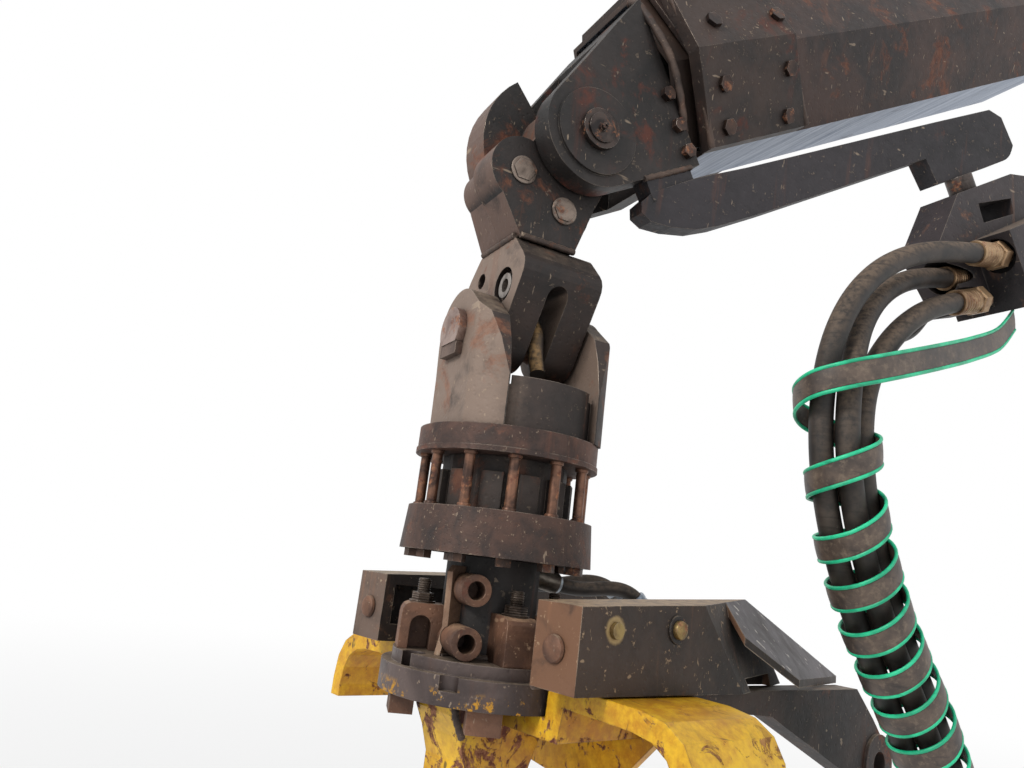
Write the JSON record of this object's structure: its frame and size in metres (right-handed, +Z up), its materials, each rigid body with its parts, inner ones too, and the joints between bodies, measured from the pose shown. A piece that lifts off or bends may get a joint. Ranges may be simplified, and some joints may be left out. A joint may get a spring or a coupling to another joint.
{
  "type": "harvester crane tip with rotator",
  "caption": "Front end of a forestry harvester crane: telescopic stick tip, cross-jointed link, rotator and yellow head hanger with guards.",
  "frame": {"origin": "middle of the stick's cut end, on the stick's centre line", "axes": "+Z up, +X horizontally from the crane tip towards the machine, +Y to the far side of the picture; the stick points to -X and down"},
  "size_m": [1.6863, 0.8589, 2.5061],
  "materials": {
    "bare_steel": "dull bare steel",
    "brass_bolt": "yellowish plated bolt",
    "dark_cast": "dark oily casting",
    "disc_grey": "grey steel with yellow paint at its edge",
    "green_edge": "bright turquoise-green edge",
    "guard_strip": "worn plastic strip",
    "hose_rubber": "dusty black hose",
    "light_cast": "bare tan-grey casting",
    "pad_plastic": "wear pad",
    "rusty_steel": "tan rust",
    "worn_steel": "weathered brown-black steel with rust",
    "yellow_paint": "worn yellow paint"
  },
  "bodies": {
    "stick": {"stick_tube": "worn_steel", "stick_collar": "worn_steel", "pad_screws": "bare_steel", "wear_pads": "pad_plastic"},
    "extension": {"ext_tube": "dark_cast", "tip_fork": "dark_cast", "tip_bolts": "bare_steel", "pin_a": "bare_steel", "hose_arm": "worn_steel", "swivel_pin": "bare_steel", "hose_bracket": "worn_steel", "ferrules": "bare_steel", "hose_a": "hose_rubber", "hose_b": "hose_rubber", "hose_c": "hose_rubber", "thin_hose": "hose_rubber", "spiral_guard": "guard_strip", "strip_edges": "green_edge", "hose_ends": "bare_steel"},
    "link": {"link_head": "dark_cast", "link_bolts": "bare_steel", "middle_link": "light_cast", "recess_ring": "bare_steel", "link_hose": "hose_rubber"},
    "rotator": {"clevis": "light_cast", "pin_d": "bare_steel", "pin_stops": "light_cast", "upper_ring": "worn_steel", "tie_bolts": "bare_steel", "stator": "dark_cast", "lower_ring": "worn_steel", "ring_bolts": "bare_steel"},
    "hanger": {"neck": "dark_cast", "port_tubes": "rusty_steel", "lugs": "rusty_steel", "lug_studs": "bare_steel", "rib": "rusty_steel", "disc": "disc_grey", "arch": "yellow_paint", "stem": "yellow_paint", "under_lugs": "rusty_steel", "guard_near": "rusty_steel", "guard_far": "rusty_steel", "guard_bolts": "brass_bolt", "arm_near": "dark_cast", "arm_far": "dark_cast", "neck_hoses": "hose_rubber", "neck_fittings": "bare_steel"}
  },
  "joints": [
    {"name": "stick_extend", "type": "slide", "parent": "stick", "child": "extension", "axis": [-0.8572, 0, -0.515], "range_m": [0, 0.6]},
    {"name": "link_swing", "type": "hinge", "parent": "extension", "child": "link", "pos_m": [-1.4098, 0, -0.95442], "axis": [0, 1, 0], "range_deg": [-30, 60], "deforming": ["hose_a", "hose_b", "hose_c", "thin_hose", "spiral_guard", "strip_edges", "hose_ends"]},
    {"name": "rotator_swing", "type": "hinge", "parent": "link", "child": "rotator", "pos_m": [-1.4438, 0, -1.32542], "axis": [1, 0, 0], "range_deg": [-35, 35]},
    {"name": "rotator_turn", "type": "hinge", "parent": "rotator", "child": "hanger", "pos_m": [-1.4438, 0, -1.50742], "axis": [0, 0, 1], "continuous": true}
  ]
}
